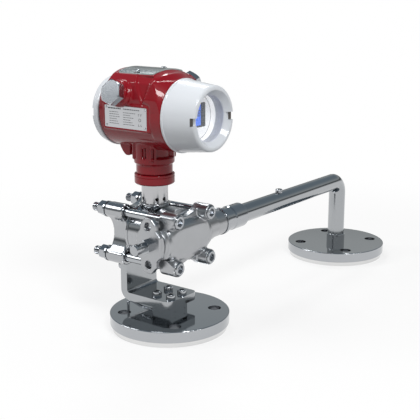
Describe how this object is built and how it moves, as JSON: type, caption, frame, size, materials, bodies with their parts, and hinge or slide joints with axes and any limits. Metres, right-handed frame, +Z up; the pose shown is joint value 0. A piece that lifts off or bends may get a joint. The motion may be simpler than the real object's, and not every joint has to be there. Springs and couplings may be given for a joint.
{
  "type": "density meter",
  "caption": "Flanged density meter: a pressure cell on a bracket between two process flanges, with a rotating red electronics head.",
  "frame": {"origin": "centre of the base flange's lower face, on its bolt circle's centre", "axes": "+Z up from the flange face, +X from the clamped cell towards the display, +Y along the tube to the far flange"},
  "size_m": [0.1994, 0.6107, 0.3538],
  "materials": {
    "polished_steel": "polished",
    "cast_steel": "bead blasted and polished",
    "fastener_steel": "bright turned",
    "membrane_steel": "satin",
    "red_paint": "gloss",
    "white_paint": "gloss",
    "plate_steel": "satin",
    "clear_glass": "clear",
    "grey_ring": "satin",
    "white_plastic": "gloss",
    "black_plastic": "matte",
    "blue_screen": "gloss",
    "board_green": "satin",
    "seal_rubber": "matte",
    "gasket_white": "matte",
    "button_grey": "matte"
  },
  "bodies": {
    "stand": {"base_flange": "polished_steel", "remote_flange": "polished_steel", "seal_block": "polished_steel", "bracket": "polished_steel", "remote_tube": "polished_steel", "tube_sleeve": "polished_steel", "fill_plug": "polished_steel", "left_flange": "cast_steel", "right_flange": "cast_steel", "sensor_body": "cast_steel", "neck_tube": "cast_steel", "bracket_screws": "fastener_steel", "bracket_rear_screws": "fastener_steel", "flange_bolts": "fastener_steel", "flange_washers": "fastener_steel", "flange_nuts": "fastener_steel", "vent_body": "fastener_steel", "capillary": "fastener_steel", "capillary_gland": "fastener_steel", "block_fill_screws": "fastener_steel", "base_diaphragm": "membrane_steel", "remote_diaphragm": "membrane_steel", "high_side_membrane": "membrane_steel", "low_side_membrane": "membrane_steel", "lock_ring": "red_paint", "left_gasket": "gasket_white", "right_gasket": "gasket_white"},
    "vent": {"vent_stem": "fastener_steel"},
    "front_seal": {"front_cap_seal": "seal_rubber"},
    "rear_seal": {"rear_cap_seal": "seal_rubber"},
    "front_cap": {"display_cap": "white_paint", "window_retainer": "grey_ring", "display_window": "clear_glass"},
    "rear_cap": {"terminal_cap": "white_paint"},
    "zero_adjuster": {"zero_button": "button_grey"},
    "span_adjuster": {"span_button": "button_grey"},
    "head": {"head_housing": "red_paint", "head_lock_screw": "fastener_steel", "electronics_module": "black_plastic", "display_board": "board_green", "display_panel": "blue_screen", "display_frame": "black_plastic", "display_bezel": "white_plastic", "terminal_block": "black_plastic", "terminal_screws": "fastener_steel", "conduit_plug_front": "fastener_steel", "conduit_plug_rear": "fastener_steel", "top_plate": "plate_steel", "top_plate_screws": "fastener_steel", "nameplate": "plate_steel", "nameplate_rivets": "fastener_steel", "ground_screw": "fastener_steel"}
  },
  "joints": [
    {"name": "head_turn", "type": "hinge", "parent": "stand", "child": "head", "pos_m": [-0.0237, 0, 0.22], "axis": [0, 0, 1], "range_deg": [-180, 180]},
    {"name": "vent_turn", "type": "hinge", "parent": "stand", "child": "vent", "pos_m": [0.0123, -0.058, 0.1305], "axis": [0, -1, 0], "range_deg": [0, 360]},
    {"name": "front_cap_travel", "type": "slide", "parent": "head", "child": "front_seal", "axis": [1, 0, 0], "range_m": [0, 0.012]},
    {"name": "front_cap_turn", "type": "hinge", "parent": "front_seal", "child": "front_cap", "pos_m": [0.0274, 0, 0.2947], "axis": [1, 0, 0], "range_deg": [0, 2160]},
    {"name": "rear_cap_travel", "type": "slide", "parent": "head", "child": "rear_seal", "axis": [-1, 0, 0], "range_m": [0, 0.012]},
    {"name": "rear_cap_turn", "type": "hinge", "parent": "rear_seal", "child": "rear_cap", "pos_m": [-0.079, 0, 0.2947], "axis": [-1, 0, 0], "range_deg": [0, 2160]},
    {"name": "zero_press", "type": "slide", "parent": "head", "child": "zero_adjuster", "axis": [0, 0, -1], "range_m": [0, 0.0015], "stiffness_N_per_m": 300},
    {"name": "span_press", "type": "slide", "parent": "head", "child": "span_adjuster", "axis": [0, 0, -1], "range_m": [0, 0.0015], "stiffness_N_per_m": 300}
  ],
  "couplings": [
    {"joint": "front_cap_travel", "follows": "front_cap_turn", "m_per_rad": 0.00031831},
    {"joint": "rear_cap_travel", "follows": "rear_cap_turn", "m_per_rad": 0.00031831}
  ]
}
